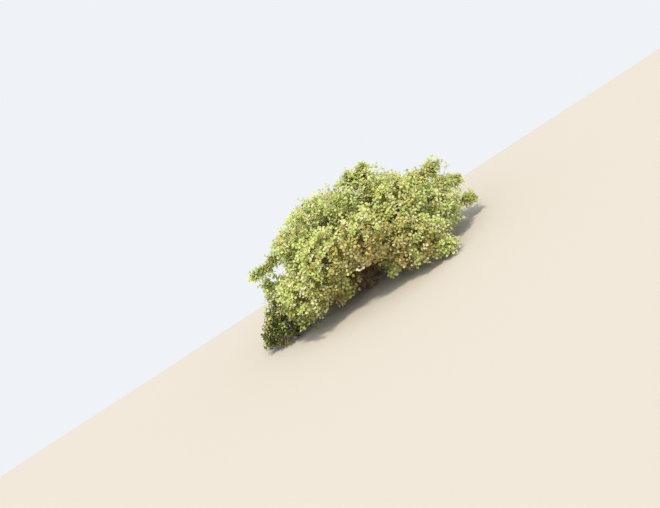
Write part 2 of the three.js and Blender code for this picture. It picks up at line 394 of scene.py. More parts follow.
def even_rays(pole, count, roll):
    """Directions spread evenly round a pole, each after its height along the pole."""
    for k in range(count):
        height = 1 - (2 * k + 1) / count
        level = sideways(pole, GOLDEN_ANGLE * k + roll())
        yield height, pole * height + level * math.sqrt(1 - height * height)


limb_shares = [k / LIMB_TRIES for k in range(LIMB_TRIES + 1)]
limb_points = [(mass, mass.bough.point(share)) for mass in masses for share in limb_shares]
limb_tree = search_tree([point for _, point in limb_points])


def touches_limb(start, end):
    for k in range(1, TWIG_TRIES + 1):
        _, index, distance = limb_tree.find(start.lerp(end, k / TWIG_TRIES))
        if distance < limb_points[index][0].bough_radius + TWIG_CLEARANCE:
            return True
    return False


def end_in_space(mass, start, end):
    for tenths in range(10, round(10 * TWIG_SHORTEST) - 1, -1):
        tried = start.lerp(end, tenths / 10)
        if in_space(mass, tried):
            return tried
    return None


def on_steps(points, share):
    """The point at a share of the way along a limb's own straight steps."""
    at = share * (len(points) - 1)
    k = min(int(at), len(points) - 2)
    return points[k].lerp(points[k + 1], at - k)


def twigs_of(mass):
    """Each twig of a mass as its foot and tip."""
    roll = dice(mass.seed)
    steps = mass.stem.spaced(STEM_STEPS)
    pole = (mass.centre.normalized() + UP).normalized()
    twigs = []

    def grow(share, target):
        foot = on_steps(steps, share)
        tip = end_in_space(mass, foot, target)
        if tip and not touches_limb(foot, tip):
            twigs.append((foot, tip))
            return True
        return False

    directions = round(TWIG_DIRECTIONS * (mass.spread / USUAL_SPREAD) ** 2)
    for height, ray in even_rays(pole, directions, roll):
        share = FIRST_TWIG + (LAST_TWIG - FIRST_TWIG) * (height + 1) / 2
        target = mass.centre + ray * TWIG_REACH * mass.spread
        if height >= FURTHEST_BACKWARD and grow(share, target):
            for _ in range(LEAVES_ON_SOLID_TWIG):
                roll()
    for centre, _ in mass.lobes[1:]:
        grow(LAST_TWIG, centre)
    return twigs


for mass in masses:
    mass.twigs = twigs_of(mass)
print("main twigs:", sum(len(mass.twigs) for mass in masses))

# %% [markdown]
# ## Leafy shoots
#
# A caper's shoots are long, thin and arching, and carry a leaf every couple of centimetres. The tips
# decide the look of the dome, so they are chosen first: spread evenly round each lobe, most of them
# near its surface, with noise that lets some fall back. Where a finer noise is high, a few neighbours
# grow on together and stand out of the dome as a spray, never far past the solids' outer limits. A
# few sides look flatter in the photograph than their round space, and longer shoots are left out
# there. Each shoot starts at the nearest point of a main twig, leaves along it, and arches over to its
# tip. In a tuft the shoots start further back, so that they fan out and do not end in a ball.

# %% Limits of the shoots
LEAF_LENGTH = 0.032
LARGEST_LEAF = 1.15
REACH_ROOM = 0.01
SHOOT_GROUND_ROOM = LARGEST_LEAF * LEAF_LENGTH
GAP_EDGE_SIZE = 0.04
GAP_EDGE_DEPTH = 0.022
FLAT_SIDES = {
    ("left_tip", 0): (180, 0.9),
    ("left_shoulder", 0): (150, 0.88),
    ("upper_left", 0): (150, 0.88),
    ("right_shoulder", 2): (50, 1.2),
}
FLAT_UNEVENNESS = 0.03


def clear_of_gap(point):
    """Whether a point stays out of the sky gap, whose edge is uneven here."""
    return not in_sky_gap(point, GAP_EDGE_DEPTH * noise.noise(point / GAP_EDGE_SIZE))


def past_flat_side(mass, lobe, point):
    """Whether a point lies past the flat side that a lobe of a mass shows in the picture."""
    if (mass.name, lobe) not in FLAT_SIDES:
        return False
    angle, limit = FLAT_SIDES[mass.name, lobe]
    turn = math.radians(angle)
    out = math.cos(turn) * picture_right + math.sin(turn) * picture_up
    return point.dot(out) > limit + FLAT_UNEVENNESS * noise.noise(point / GAP_EDGE_SIZE)


def in_reach(point):
    """Whether a leafy point keeps off the ground and near the solids' outer limits."""
    low, high = solid_box
    inside = all(low[k] - REACH_ROOM < point[k] < high[k] + REACH_ROOM for k in range(3))
    return inside and point.z > SHOOT_GROUND_ROOM


print("room under the shoots in m:", round(SHOOT_GROUND_ROOM, 4))

# %% Shoots
SHOOTS_PER_SQUARE_METRE = 4500
OUTER_SHARE = 0.68
OUTER_LAYER = (0.82, 1.0)
INNER_LAYER = (0.5, 0.82)
TUFT_FULLNESS = 0.85
TUFT_LAYER = (0.25, 1.0)
TUFT_FAN = 0.16
BUMP_SIZE = 0.075
BUMP_HEIGHT = 0.15
TUFT_BUMP_HEIGHT = 0.6
SPRAY_SIZE = 0.055
SPRAY_FROM = 0.16
SPRAY_LENGTH = 0.16
LOW_MASS = 0.2
LOW_FULLNESS = 1.6
SHOOT_SEED = 1000
SHOOT_STEPS = 4
SHOOT_FINENESS = 24
SHOOT_ARCH = 0.16
SHOOT_FOLLOWS_TWIG = 0.4
SHOOT_STARTS_BACK = 0.35
LONGEST_SHOOT = 0.34
TWIG_SAG = 0.05
TWIG_STEPS = 10
FIRST_ANCHOR = 2


def between(limits, share):
    """The value at a share of the way from a lower limit to an upper one."""
    low, high = limits
    return low + (high - low) * share


def twig_line(foot, tip):
    """A main twig with a slight upward bend."""
    return Arch(foot, foot.lerp(tip, 0.5) + UP * TWIG_SAG * (tip - foot).length, tip)


def anchors_of(mass):
    """Points along the main twigs with the twig's direction there, and a tree to find the nearest."""
    anchors = []
    for foot, tip in mass.twigs:
        line = twig_line(foot, tip)
        shares = [k / TWIG_STEPS for k in range(FIRST_ANCHOR, TWIG_STEPS + 1)]
        anchors += [(line.point(share), line.tangent(share)) for share in shares]
    return anchors, search_tree([point for point, _ in anchors])


def clear_shoot(foot, middle, tip):
    """The points of a shoot from foot to tip, or none where it would grow out of its limits."""
    points = Arch(foot, middle, tip).spaced(SHOOT_STEPS, SHOOT_FINENESS)
    if all(map(clear_of_gap, points)) and all(map(in_reach, points[1:])):
        return points
    return None


def shoots_of(mass):
    """Each shoot of a mass as a list of points from foot to tip."""
    roll = dice(SHOOT_SEED + mass.seed)
    anchors, tree = anchors_of(mass)
    grown = []
    for lobe, (centre, spread) in enumerate(mass.lobes):
        in_tuft = lobe > 0
        fan = (centre - mass.centre).normalized() * TUFT_FAN if in_tuft else Vector()
        fullness = TUFT_FULLNESS if in_tuft else LOW_FULLNESS if centre.z < LOW_MASS else 1.0
        bump_height = TUFT_BUMP_HEIGHT if in_tuft else BUMP_HEIGHT
        count = round(SHOOTS_PER_SQUARE_METRE * fullness * spread * spread)
        for _, ray in even_rays(UP, count, roll):
            ray.z *= MASS_FLATNESS
            layer = OUTER_LAYER if roll() < OUTER_SHARE else INNER_LAYER
            share = between(TUFT_LAYER if in_tuft else layer, roll())
            share += bump_height * noise.noise((centre + ray * spread) / BUMP_SIZE)
            reach = 1.0 if in_tuft else reach_in_dome(mass, centre, ray * spread)
            tip = centre + ray * (min(share, 1.0) * reach * spread - LEAF_LENGTH)
            if not in_dome(mass, tip):
                continue
            if not in_tuft:
                tip += ray * SPRAY_LENGTH * max(noise.noise(tip / SPRAY_SIZE) - SPRAY_FROM, 0.0)
            if past_flat_side(mass, lobe, tip):
                continue
            _, index, _ = tree.find(tip.lerp(centre, SHOOT_STARTS_BACK) - fan)
            foot, along = anchors[index]
            span = (tip - foot).length
            if LEAF_LENGTH <= span <= LONGEST_SHOOT:
                middle = foot + along * SHOOT_FOLLOWS_TWIG * span + UP * SHOOT_ARCH * span
                grown.append(clear_shoot(foot, middle, tip))
    return [points for points in grown if points]


shoots = [points for mass in masses for points in shoots_of(mass)]
mean_length = sum(map(length_of, shoots)) / len(shoots)
print("shoots:", len(shoots), "mean length in m:", round(mean_length, 3))

# %% [markdown]
# ## Low shoots at the foot
#
# The inner half of each bough is not quite bare: it keeps some short leafy shoots. Others spring
# straight from the root crown each year and lie out low on all sides, which is why the foot of the
# bush can hardly be seen from outside. Only at the front is a small dark hollow left, where the
# photograph shows bare wood. All the low shoots stay off the ground.

# %% Low shoots
LOW_SHOOTS_ON_A_BOUGH = {"seed": 2000, "count": 14, "part": (0.1, 0.85), "turn": 6}
LOW_SHOOT_LENGTH = (0.1, 0.22)
LOW_SHOOT_FORWARD = 0.5
LOW_SHOOT_ROOM = 0.002
CROWN_SHOOTS = {"seed": 2500, "count": 90, "lift": (2, 50), "offset": 0}
CROWN_SHOOT_LENGTH = (0.16, 0.42)
SPRING_DISTANCE = 0.05
SPRING_HEIGHT = (0.04, 0.1)
HOLLOW_MIDDLE = Vector((0.06, -0.22, 0.07))
HOLLOW_RADIUS = 0.13


def feet_on_boughs(seed, count, part, turn):
    """Feet along each bough, with chance, the bough's direction and one square to it."""
    for mass in masses:
        roll = dice(seed + mass.seed)
        for k in range(count):
            share = between(part, (k + roll()) / count)
            along = mass.bough.tangent(share)
            aside = sideways(along, GOLDEN_ANGLE * k + turn * roll())
            yield roll, mass.bough.point(share), along, aside


def rays_from_crown(seed, count, lift, offset):
    """Directions out of the root crown, with chance and each direction's bearing."""
    roll = dice(seed)
    for k in range(count):
        bearing = math.degrees(GOLDEN_ANGLE) * (k + offset)
        yield roll, bearing, place(bearing, between(lift, roll()), 1)


def crown_place(bearing, share):
    """A spot just inside the root crown's surface, from which a thin stem may spring."""
    return place(bearing, 0, SPRING_DISTANCE) + UP * between(SPRING_HEIGHT, share)


def in_hollow(point):
    return (point - HOLLOW_MIDDLE).length < HOLLOW_RADIUS


def grow_low_shoot(foot, heading, length):
    middle = foot + (heading * 0.5 + UP * SHOOT_ARCH) * length
    tip = foot + heading * length
    tip.z = max(tip.z, SHOOT_GROUND_ROOM + LOW_SHOOT_ROOM)
    points = clear_shoot(foot, middle, tip)
    if points and not any(map(in_hollow, points[2:])):
        shoots.append(points)


for roll, foot, along, aside in feet_on_boughs(**LOW_SHOOTS_ON_A_BOUGH):
    heading = (aside + LOW_SHOOT_FORWARD * along).normalized()
    grow_low_shoot(foot, heading, between(LOW_SHOOT_LENGTH, roll()))

for roll, bearing, heading in rays_from_crown(**CROWN_SHOOTS):
    grow_low_shoot(crown_place(bearing, roll()), heading, between(CROWN_SHOOT_LENGTH, roll()))
print("shoots with the low ones:", len(shoots))

# %% [markdown]
# ## Plain finishes
#
# Leaves and green twigs are small and many, so each gets a plain colour: a pattern on a leaf four
# pixels wide would not show, and the eye reads the mix of tints. Colours are written as on a paint
# card and turned into the linear values that a renderer works with. One helper sets a node's inputs:
# a value is set, a socket is linked, and of a node its first output in use is linked.

# %% Finish helpers
def paint(code):
    """A colour from its six-digit code, as linear red, green, blue and opacity."""
    parts = [int(code[k : k + 2], 16) / 255 for k in (0, 2, 4)]
    linear = [part / 12.92 if part <= 0.04045 else ((part + 0.055) / 1.055) ** 2.4 for part in parts]
    return (*linear, 1.0)


def fill(tree, node, inputs):
    """Sets or links the inputs of a node and returns the node."""
    for key, value in inputs.items():
        if isinstance(value, bpy.types.Node):
            value = next(socket for socket in value.outputs if socket.enabled)
        if isinstance(value, bpy.types.NodeSocket):
            tree.links.new(value, node.inputs[key])
        else:
            node.inputs[key].default_value = value
    return node


def new_finish(name, code):
    """A new finish, its node tree and its shader. The code is its colour in the working view."""
    finish = bpy.data.materials.new(name)
    finish.use_nodes = True
    finish.diffuse_color = paint(code)
    return finish, finish.node_tree, finish.node_tree.nodes["Principled BSDF"]


def plain_finish(name, code, roughness, shine=0.5, coat=0.0, glow=0.0):
    """One colour all over. Glow is the share of the light that passes through a thin leaf."""
    finish, tree, shader = new_finish(name, code)
    settings = {
        "Base Color": paint(code),
        "Roughness": roughness,
        "Specular IOR Level": shine,
        "Coat Weight": coat,
        "Coat Roughness": 0.35,
        "Subsurface Weight": glow,
        "Subsurface Radius": (1.0, 1.0, 0.4),
        "Subsurface Scale": 0.01,
    }
    fill(tree, shader, settings)
    return finish


green_twig = plain_finish("green_twig", "948f40", 0.6, shine=0.2)
brown_twig = plain_finish("brown_twig", "7d5d3e", 0.75, shine=0.2)
dry_twig = plain_finish("dry_twig", "a68160", 0.85, shine=0.2)
print("twig finishes:", green_twig.name, brown_twig.name, dry_twig.name)

# %% [markdown]
# ## Lines that carry a thickness
#
# Geometry Nodes can turn drawn lines into round twigs. Each twig is a chain of points in one mesh with
# no faces, and every point carries the radius that the twig has there. Foot points come first, so a
# line always runs from foot to tip.

# %% Line mesh
def line_object(name, lines):
    """One object of open lines. Each line is its points, its radius at the foot and at the tip."""
    vertices, edges, radii = [], [], []
    for points, foot_radius, tip_radius in lines:
        first = len(vertices)
        last = len(points) - 1
        vertices += points
        edges += [(first + k, first + k + 1) for k in range(last)]
        radii += [foot_radius + (tip_radius - foot_radius) * k / last for k in range(last + 1)]
    mesh = bpy.data.meshes.new(name)
    mesh.from_pydata(vertices, edges, [])
    mesh.attributes.new("thickness", "FLOAT", "POINT").data.foreach_set("value", radii)
    return put_in_scene(name, mesh)


print("points in one shoot:", SHOOT_STEPS + 1)

# %% [markdown]
# ## Small helpers for node trees
#
# A node tree is easier to read in a script when one short call makes a node and sets its inputs. Both
# geometry trees start from lines and end in real geometry with a finish. The modifier's inputs are set
# by each socket's identifier, because two sockets may share a name.

# %% Node helpers
def adder(tree):
    """A function that adds a node to a tree, with its settings and its inputs."""

    def add(kind, inputs=None, **settings):
        node = tree.nodes.new(kind)
        for name, value in settings.items():
            setattr(node, name, value)
        return fill(tree, node, inputs or {})

    return add


def new_tree(name, sockets):
    """A tree with lines going in, one named input for each socket, and a result coming out."""
    tree = bpy.data.node_groups.new(name, "GeometryNodeTree")
    tree.is_modifier = True
    for socket, kind in {"Lines": "Geometry", **sockets}.items():
        tree.interface.new_socket(socket, in_out="INPUT", socket_type="NodeSocket" + kind)
    tree.interface.new_socket("Result", in_out="OUTPUT", socket_type="NodeSocketGeometry")
    add = adder(tree)
    return tree, add, add("NodeGroupInput").outputs


def end_tree(add, geometry, finish):
    """Makes a tree's geometry real, gives it its finish and sends it out."""
    real = add("GeometryNodeRealizeInstances", {"Geometry": geometry})
    coloured = add("GeometryNodeSetMaterial", {"Geometry": real, "Material": finish})
    add("NodeGroupOutput", {"Result": coloured})


def made_by(tree, name, lines, values):
    """The plain mesh object that a tree makes from lines."""
    carrier = line_object(name + "_lines", lines)
    modifier = carrier.modifiers.new(tree.name, "NODES")
    modifier.node_group = tree
    for item in tree.interface.items_tree:
        if item.item_type == "SOCKET" and item.in_out == "INPUT" and item.name in values:
            modifier[item.identifier] = values[item.name]
    evaluated = carrier.evaluated_get(bpy.context.evaluated_depsgraph_get())
    mesh = bpy.data.meshes.new_from_object(evaluated)
    line_mesh = carrier.data
    bpy.data.objects.remove(carrier)
    bpy.data.meshes.remove(line_mesh)
    mesh.name = name
    return put_in_scene(name, mesh)


print("sockets of every tree: Lines in, Result out")

# %% [markdown]
# ## Round twigs from lines
#
# The tree turns each line into a curve and sweeps a small circle along it, scaled by the thickness
# that the line carries. Three sides are enough for a shoot two millimetres thick, and the stouter
# stems get more. The ends are capped, so each twig is closed.

# %% Twig tree
TWIG_RADII = (0.004, 0.0022)
TWIG_BENDS = 6
SHOOT_RADII = (0.0018, 0.0009)
TWIG_SIDES = 5
SHOOT_SIDES = 3


def make_twig_tree():
    tree, add, given = new_tree("round_twigs", {"Sides": "Int", "Finish": "Material"})
    curve = add("GeometryNodeMeshToCurve", {"Mesh": given["Lines"]})
    thickness = add("GeometryNodeInputNamedAttribute", {"Name": "thickness"}, data_type="FLOAT")
    ring = add("GeometryNodeCurvePrimitiveCircle", {"Resolution": given["Sides"], "Radius": 1.0})
    sweep = {"Curve": curve, "Profile Curve": ring, "Scale": thickness, "Fill Caps": True}
    end_tree(add, add("GeometryNodeCurveToMesh", sweep), given["Finish"])
    return tree


def round_twigs(name, lines, sides, finish):
    return made_by(twig_tree, name, lines, {"Sides": sides, "Finish": finish})


twig_tree = make_twig_tree()
twig_curves = [twig_line(*twig) for mass in masses for twig in mass.twigs]
twig_lines = [(curve.spaced(TWIG_BENDS, SHOOT_FINENESS), *TWIG_RADII) for curve in twig_curves]
shoot_lines = [(points, *SHOOT_RADII) for points in shoots]
twig_piece = round_twigs("twigs", twig_lines, TWIG_SIDES, brown_twig)
shoot_piece = round_twigs("shoots", shoot_lines, SHOOT_SIDES, green_twig)
for piece in (twig_piece, shoot_piece):
    print(piece.name, "faces:", len(piece.data.polygons))

# %% [markdown]
# ## Dry twigs at the heart
#
# Under its leafy dome a caper bush is a thicket of thin, bare, brown twigs: old shoots that lost their
# leaves for want of light. They leave the boughs and the root crown at all angles and fork. Where the
# dome is thin in front of the root crown, this brown thicket shows between the leaves.

# %% Dry twigs
DRY_TWIGS_ON_A_BOUGH = {"seed": 3000, "count": 12, "part": (0.2, 0.98), "turn": 1}
DRY_TWIGS_ON_THE_CROWN = {"seed": 3500, "count": 110, "lift": (14, 72), "offset": 0.5}
DRY_TWIG_LENGTH = (0.09, 0.24)
DRY_TWIG_FORWARD = (0.3, 0.6)
DRY_TWIG_RADII = (0.0026, 0.0012)
DRY_CROWN_LENGTH = (0.1, 0.32)
DRY_FORKS = 3
DRY_FORK_PART = (0.3, 0.6)
DRY_FORK_SHARE = 0.5
DRY_FORK_LENGTH = (0.6, 0.8)
DRY_FORK_ASIDE = 0.8
DRY_FORK_TURN = 6
DRY_FORK_RADII = (0.0014, 0.0008)
DRY_BEND = 0.2
DRY_RISE = 0.06
DRY_DROOP = 0.12
DRY_GROUND_ROOM = 0.015
DRY_GAP_ROOM = 0.01


def least_and_more(amounts, share):
    """The first amount, with a share of the second one added."""
    least, more = amounts
    return least + more * share


def dry_line(roll, foot, heading, length):
    """A bare twig that bows to one side and droops a little towards its tip."""
    bow = sideways(heading, math.tau * roll()) * DRY_BEND * length
    tip = foot + heading * length - UP * DRY_DROOP * length
    tip.z = max(tip.z, DRY_GROUND_ROOM)
    return Arch(foot, foot + heading * 0.5 * length + UP * DRY_RISE * length + bow, tip)


def grow_dry_twig(lines, roll, foot, heading, length):
    """Adds a bare twig and its forks, except those that would cross the sky gap."""
    twig = dry_line(roll, foot, heading, length)
    grown = [(twig.spaced(5, 20), *DRY_TWIG_RADII)]
    for fork in range(DRY_FORKS):
        least, more = DRY_FORK_PART
        at = least + more * (fork + roll()) / DRY_FORKS
        turned = sideways(twig.tangent(at), GOLDEN_ANGLE * fork + DRY_FORK_TURN * roll())
        turned = (turned * DRY_FORK_ASIDE + twig.tangent(at)).normalized()
        fork_length = DRY_FORK_SHARE * length * least_and_more(DRY_FORK_LENGTH, roll())
        branch = dry_line(roll, twig.point(at), turned, fork_length)
        grown.append((branch.spaced(4, 16), *DRY_FORK_RADII))
    for line in grown:
        if not any(in_sky_gap(point, DRY_GAP_ROOM) for point in line[0]):
            lines.append(line)


dry_lines = []
for roll, foot, along, aside in feet_on_boughs(**DRY_TWIGS_ON_A_BOUGH):
    heading = (aside + along * least_and_more(DRY_TWIG_FORWARD, roll())).normalized()
    grow_dry_twig(dry_lines, roll, foot, heading, between(DRY_TWIG_LENGTH, roll()))

for roll, bearing, heading in rays_from_crown(**DRY_TWIGS_ON_THE_CROWN):
    length = between(DRY_CROWN_LENGTH, roll())
    grow_dry_twig(dry_lines, roll, crown_place(bearing, roll()), heading, length)

dry_piece = round_twigs("dry_twigs", dry_lines, SHOOT_SIDES, dry_twig)
print("dry twigs:", len(dry_lines), "faces:", len(dry_piece.data.polygons))

# %% [markdown]
# ## Furrowed bark
#
# Old caper wood is grey-brown, furrowed lengthwise, and swollen where a bough leaves it. A smooth tube
# with a bump in its finish would keep a smooth outline, so the furrows are pushed into the mesh. A limb
# is a ring of points carried along its curve, and a noise that is stretched along the limb moves each
# point in or out. The noise is read on a circle, so the furrows meet round the limb without a seam.

# %% Bark helpers
FURROW_SHARPNESS = 4
SEED_STEP = 7.3


def ring_points(rings):
    """The points of all rings, and then the middle points of the first and the last ring."""
    ends = [sum(ring, Vector()) / len(ring) for ring in (rings[0], rings[-1])]
    return [point for ring in rings for point in ring] + ends


def closed_rings(name, rings, straight_rings):
    """A closed object through rings. It keeps where each point is on the straightened limb."""
    sides = len(rings[0])
    top = (len(rings) - 1) * sides
    vertices = ring_points(rings)
    faces = []
    for k in range(sides):
        following = (k + 1) % sides
        for row in range(0, top, sides):
            faces.append((row + k, row + following, row + following + sides, row + k + sides))
        faces.append((following, k, len(vertices) - 2))
        faces.append((top + k, top + following, len(vertices) - 1))
    mesh = bpy.data.meshes.new(name)
    mesh.from_pydata(vertices, [], faces)
    mesh.shade_smooth()
    straight = [value for point in ring_points(straight_rings) for value in point]
    mesh.attributes.new("straightened", "FLOAT_VECTOR", "POINT").data.foreach_set("vector", straight)
    return put_in_scene(name, mesh)


def furrows(turn, run, repeats, length, seed):
    """The height of the bark from -1 to 1, at a turn round a limb and a run along it."""
    spot = on_circle(turn, repeats, run / length + SEED_STEP * seed)
    return max(1 - FURROW_SHARPNESS * abs(noise.noise(spot)), -1.0)


print("a furrow's heights:", [round(furrows(k, 0.1, 2.0, 0.05, 1), 2) for k in range(4)])

# %% [markdown]
# ## Root crown
#
# The root crown is a short, swollen stump: a flared foot, a waist, a knob that carries the boughs, and
# a rounded top. Half a dozen roots swell out of its foot and dive at the ground. It could be sculpted
# by hand. Here its radius is a formula of height and bearing, so every swelling can be named and set.
# Each kind of furrow has its depth as a share of the radius, its repeats round the stump, its length
# and its seed.

# %% Root crown
FOOT_RADIUS = 0.086
WAIST_RADIUS = 0.062
WAIST_HEIGHT = 0.045
KNOB_RADIUS = 0.076
CROWN_HEIGHT = 0.156
FLARE_ROOTS = 6
FLARE_UNEVENNESS = 0.35
FLARE_REACH = 0.124
FLARE_HEIGHT = 0.075
FLARE_WIDTH = 0.34
FLARE_DIVE = 2.2
CROWN_TURNS = 180
CROWN_ROWS = (46, 26)
COARSE_FURROWS = (0.05, 3.2, 0.09, 1)
FINE_FURROWS = (0.02, 8.0, 0.04, 2)
BURL_DEPTH = 0.09
BURL_REPEATS = 2
BURL_LENGTH = 0.035

flare_bearings = [
    math.tau / FLARE_ROOTS * (k + FLARE_UNEVENNESS * math.sin(2 * k)) for k in range(FLARE_ROOTS)
]


def eased(low, high, share):
    return between((low, high), 0.5 - 0.5 * math.cos(math.pi * share))


def crown_radius(height):
    """The radius of the smooth stump, without its roots."""
    if height < WAIST_HEIGHT:
        return eased(FOOT_RADIUS, WAIST_RADIUS, height / WAIST_HEIGHT)
    if height < KNOB_HEIGHT:
        share = (height - WAIST_HEIGHT) / (KNOB_HEIGHT - WAIST_HEIGHT)
        return eased(WAIST_RADIUS, KNOB_RADIUS, share)
    rise = min((height - KNOB_HEIGHT) / (CROWN_HEIGHT - KNOB_HEIGHT), 1.0)
    return KNOB_RADIUS * math.sqrt(1 - rise * rise)


def flare(height, turn):
    """How far the roots swell out of the foot."""
    dive = max(1 - height / FLARE_HEIGHT, 0.0) ** FLARE_DIVE
    swell = 0.0
    for bearing in flare_bearings:
        away = math.remainder(turn - bearing, math.tau)
        swell += math.exp(-((away / FLARE_WIDTH) ** 2))
    return (FLARE_REACH - FOOT_RADIUS) * dive * swell


def crown_ring(height):
    ring = []
    smooth = crown_radius(height)
    for k in range(CROWN_TURNS):
        turn = math.tau * k / CROWN_TURNS
        relief = sum(
            share * furrows(turn, height, *kind) for share, *kind in (COARSE_FURROWS, FINE_FURROWS)
        )
        burl = BURL_DEPTH * noise.noise(on_circle(turn, BURL_REPEATS, height / BURL_LENGTH))
        radius = smooth * (1 + relief + burl) + flare(height, turn) * (1 + relief)
        lean = height * math.tan(CROWN_LEAN)
        ring.append(Vector((lean + radius * math.cos(turn), radius * math.sin(turn), height)))
    return ring


low_rows, top_rows = CROWN_ROWS
heights = [KNOB_HEIGHT * k / low_rows for k in range(low_rows)]
for k in range(top_rows):
    rise = math.sin(math.pi / 2 * k / top_rows)
    heights.append(between((KNOB_HEIGHT, CROWN_HEIGHT), rise))
crown_rings = [crown_ring(height) for height in heights]
crown_piece = closed_rings("bark_root_crown", crown_rings, crown_rings)
print("root crown faces:", len(crown_piece.data.polygons))

# %% [markdown]
# ## Boughs
#
# Each bough swells at its foot, where it leaves the knob or another bough, and then tapers into the
# stem that carries its mass. Inside the wood that carries it the foot narrows, so that nothing pokes
# out on the far side. Bough and stem are one limb, so they are one mesh. Its ring is carried along
# the curve and turned as little as possible on the way, which keeps the furrows from twisting.

# %% Boughs
LIMB_TURNS = 16
LIMB_STEP = 0.009
LENGTH_STEPS = 20
STEM_TIP_RADIUS = 0.0045
FOOT_SWELL = 0.75
FOOT_SWELL_LENGTH = 0.035
FOOT_OPENING = 0.1
CARRIER_OF_A_FORK = 0.012
LIMB_FURROW_DEPTH = 0.1
LIMB_FURROWS = (1.6, 0.06)
KNOT_DEPTH = 0.1
KNOT_LENGTH = 0.03


def limb_radius(mass, run, bough_length, stem_length):
    """The radius of the smooth limb at a run along it."""
    if run < bough_length:
        radius = mass.bough_radius + (BOUGH_TIP_RADIUS - mass.bough_radius) * run / bough_length
    else:
        share = min((run - bough_length) / stem_length, 1.0)
        radius = between((BOUGH_TIP_RADIUS, STEM_TIP_RADIUS), share)
    leaves_carrier = CARRIER_OF_A_FORK if mass.forks else KNOB_RADIUS
    radius *= 1 + FOOT_SWELL * math.exp(-max(run - leaves_carrier, 0) / FOOT_SWELL_LENGTH)
    return radius * math.sqrt(min((run + FOOT_OPENING * leaves_carrier) / leaves_carrier, 1.0))


def limb_object(mass):
    bough_length = length_of(mass.bough.spaced(LENGTH_STEPS))
    stem_length = (mass.stem.end - mass.stem.start).length
    points = mass.bough.spaced(round(bough_length / LIMB_STEP))
    points += mass.stem.spaced(round(stem_length / LIMB_STEP))[1:]
    across = sideways((points[1] - points[0]).normalized(), 0)
    rings, straight_rings = [], []
    run = 0.0
    for k, point in enumerate(points):
        before, after = points[max(k - 1, 0)], points[min(k + 1, len(points) - 1)]
        along = (after - before).normalized()
        across = (across - along * across.dot(along)).normalized()
        run += (point - before).length
        radius = limb_radius(mass, run, bough_length, stem_length)
        ring, straight_ring = [], []
        for side in range(LIMB_TURNS):
            turn = math.tau * side / LIMB_TURNS
            relief = LIMB_FURROW_DEPTH * furrows(turn, run, *LIMB_FURROWS, mass.seed)
            relief += KNOT_DEPTH * noise.noise(on_circle(turn, 1, run / KNOT_LENGTH + mass.seed))
            outward = Matrix.Rotation(turn, 3, along) @ across
            ring.append(point + outward * radius * (1 + relief))
            straight_ring.append(on_circle(turn, radius, run + mass.seed))
        rings.append(ring)
        straight_rings.append(straight_ring)
    return closed_rings("bark_" + mass.name, rings, straight_rings)


limb_pieces = {mass.name: limb_object(mass) for mass in masses}
print("bough faces:", sum(len(piece.data.polygons) for piece in limb_pieces.values()))

# %% [markdown]
# ## The bark's finish
#
# The relief gives the outline, and the finish gives what is too fine for it: grey and brown patches,
# dark cracks, a few pale lichen spots, and fine grain. A crack lies wherever a noise is low. The cracks
# have to run along each limb, so their noise reads where a point would be if the limb were straightened,
# and is drawn out along it. The other patterns read the plant's own coordinates, so that none of them
# slides when the plant is moved.

# %% Bark finish
def make_bark():
    bark, tree, shader = new_finish("furrowed_bark", "7f6b58")
    add = adder(tree)

    def cloud(where, scale, detail, roughness=0.5):
        inputs = {"Vector": where, "Scale": scale, "Detail": detail, "Roughness": roughness}
        return add("ShaderNodeTexNoise", inputs)

    def ramp(source, stops):
        """Turns a number into a colour, by stops of a position and a colour code."""
        node = add("ShaderNodeValToRGB", {"Fac": source})
        while len(node.color_ramp.elements) < len(stops):
            node.color_ramp.elements.new(0.5)
        for element, (position, code) in zip(node.color_ramp.elements, stops):
            element.position = position
            element.color = paint(code)
        return node

    here = add("ShaderNodeTexCoord").outputs["Object"]
    straight = add("ShaderNodeAttribute", attribute_name="straightened").outputs["Vector"]
    drawn_out = add("ShaderNodeMapping", {"Vector": straight, "Scale": (1.0, 1.0, 0.2)})
    grain = cloud(here, 420, 6, 0.65)
    wood = ramp(cloud(here, 28, 5, 0.6), [(0.36, "5b4a3d"), (0.5, "7f6b58"), (0.64, "9d8e79")])
    cracks = cloud(drawn_out, 150, 5, 0.6)
    in_crack = ramp(cracks, [(0.36, "4a3b31"), (0.46, "b5a899"), (0.54, "ffffff")])
    lichen = ramp(cloud(here, 60, 3), [(0.66, "000000"), (0.74, "ffffff")])
    rough = ramp(grain, [(0.3, "d6d6d6"), (0.7, "f4f4f4")])

    darkened = {0: 0.6, 6: wood, 7: in_crack}
    cracked = add("ShaderNodeMix", darkened, data_type="RGBA", blend_type="MULTIPLY")
    spotted = add("ShaderNodeMix", {0: lichen, 6: cracked, 7: paint("b9b59c")}, data_type="RGBA")
    deep = add("ShaderNodeBump", {"Strength": 0.6, "Distance": 0.002, "Height": in_crack})
    fine_bump = {"Strength": 0.35, "Distance": 0.001, "Height": grain, "Normal": deep}
    fine = add("ShaderNodeBump", fine_bump)
    fill(tree, shader, {"Base Color": spotted, "Roughness": rough, "Normal": fine})
    return bark


bark = make_bark()
for piece in (crown_piece, *limb_pieces.values()):
    piece.data.materials.append(bark)
print("nodes in the bark:", len(bark.node_tree.nodes))

# %% [markdown]
# ## One leaf
#
# A caper leaf is a round oval on a short stalk, thick and slightly folded along its midrib. Ten
# points give its outline, with one point above and one below the midrib, so the leaf is a closed body
# of twenty faces. It is drawn one unit long and gets its real length where it is placed.

# %% Leaf
LEAF_OUTLINE = [
    (0.0, 0.0, 0.0),
    (0.19, 0.02, 0.0),
    (0.28, 0.23, 0.05),
    (0.55, 0.41, 0.09),
    (0.85, 0.3, 0.06),
    (1.0, 0.0, -0.02),
]
MIDRIB = (0.58, 0.0, -0.01)
LEAF_THICKNESS = 0.035


